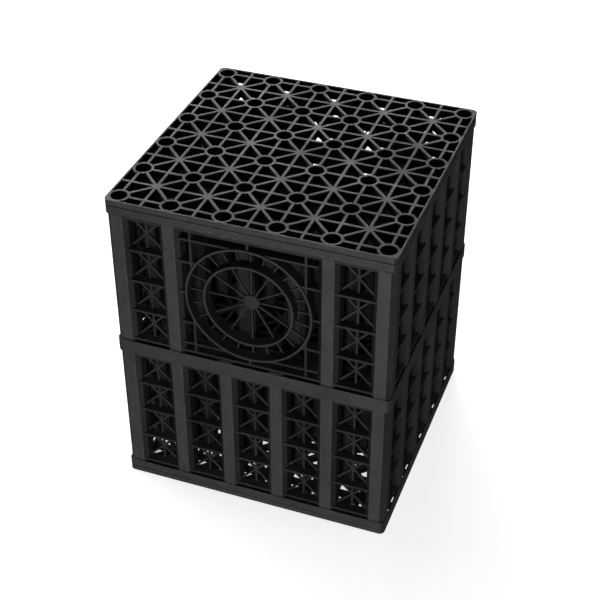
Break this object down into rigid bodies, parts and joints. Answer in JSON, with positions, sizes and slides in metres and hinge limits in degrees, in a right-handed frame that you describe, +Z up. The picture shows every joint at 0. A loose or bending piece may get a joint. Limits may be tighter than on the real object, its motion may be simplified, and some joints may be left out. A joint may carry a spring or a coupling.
{
  "type": "soakaway crate",
  "caption": "Open lattice soakaway crate in black plastic: star-ribbed decks, tube posts on octagonal spigots, braced side panels and ringed pipe ports.",
  "frame": {"origin": "centre of the underside, on the ground plane", "axes": "+Z up through the decks, +X to the right of the front pipe port, which faces -Y"},
  "size_m": [0.5, 0.5, 0.6],
  "materials": {
    "deck_polypropylene": "moulded carbon-black polypropylene, satin",
    "panel_polypropylene": "moulded carbon-black polypropylene, satin",
    "post_polypropylene": "moulded carbon-black polypropylene, satin"
  },
  "bodies": {
    "root": {"bottom_deck": "deck_polypropylene", "mid_deck": "deck_polypropylene", "top_deck": "deck_polypropylene", "lower_front_panel": "panel_polypropylene", "lower_back_panel": "panel_polypropylene", "lower_left_panel": "panel_polypropylene", "lower_right_panel": "panel_polypropylene", "upper_front_panel": "panel_polypropylene", "upper_back_panel": "panel_polypropylene", "upper_left_panel": "panel_polypropylene", "upper_right_panel": "panel_polypropylene", "lower_post_1_1": "post_polypropylene", "lower_post_1_2": "post_polypropylene", "lower_post_1_3": "post_polypropylene", "lower_post_1_4": "post_polypropylene", "lower_post_2_1": "post_polypropylene", "lower_post_2_2": "post_polypropylene", "lower_post_2_3": "post_polypropylene", "lower_post_2_4": "post_polypropylene", "lower_post_3_1": "post_polypropylene", "lower_post_3_2": "post_polypropylene", "lower_post_3_3": "post_polypropylene", "lower_post_3_4": "post_polypropylene", "lower_post_4_1": "post_polypropylene", "lower_post_4_2": "post_polypropylene", "lower_post_4_3": "post_polypropylene", "lower_post_4_4": "post_polypropylene", "upper_post_1_1": "post_polypropylene", "upper_post_1_2": "post_polypropylene", "upper_post_1_3": "post_polypropylene", "upper_post_1_4": "post_polypropylene", "upper_post_2_1": "post_polypropylene", "upper_post_2_2": "post_polypropylene", "upper_post_2_3": "post_polypropylene", "upper_post_2_4": "post_polypropylene", "upper_post_3_1": "post_polypropylene", "upper_post_3_2": "post_polypropylene", "upper_post_3_3": "post_polypropylene", "upper_post_3_4": "post_polypropylene", "upper_post_4_1": "post_polypropylene", "upper_post_4_2": "post_polypropylene", "upper_post_4_3": "post_polypropylene", "upper_post_4_4": "post_polypropylene"}
  },
  "joints": []
}
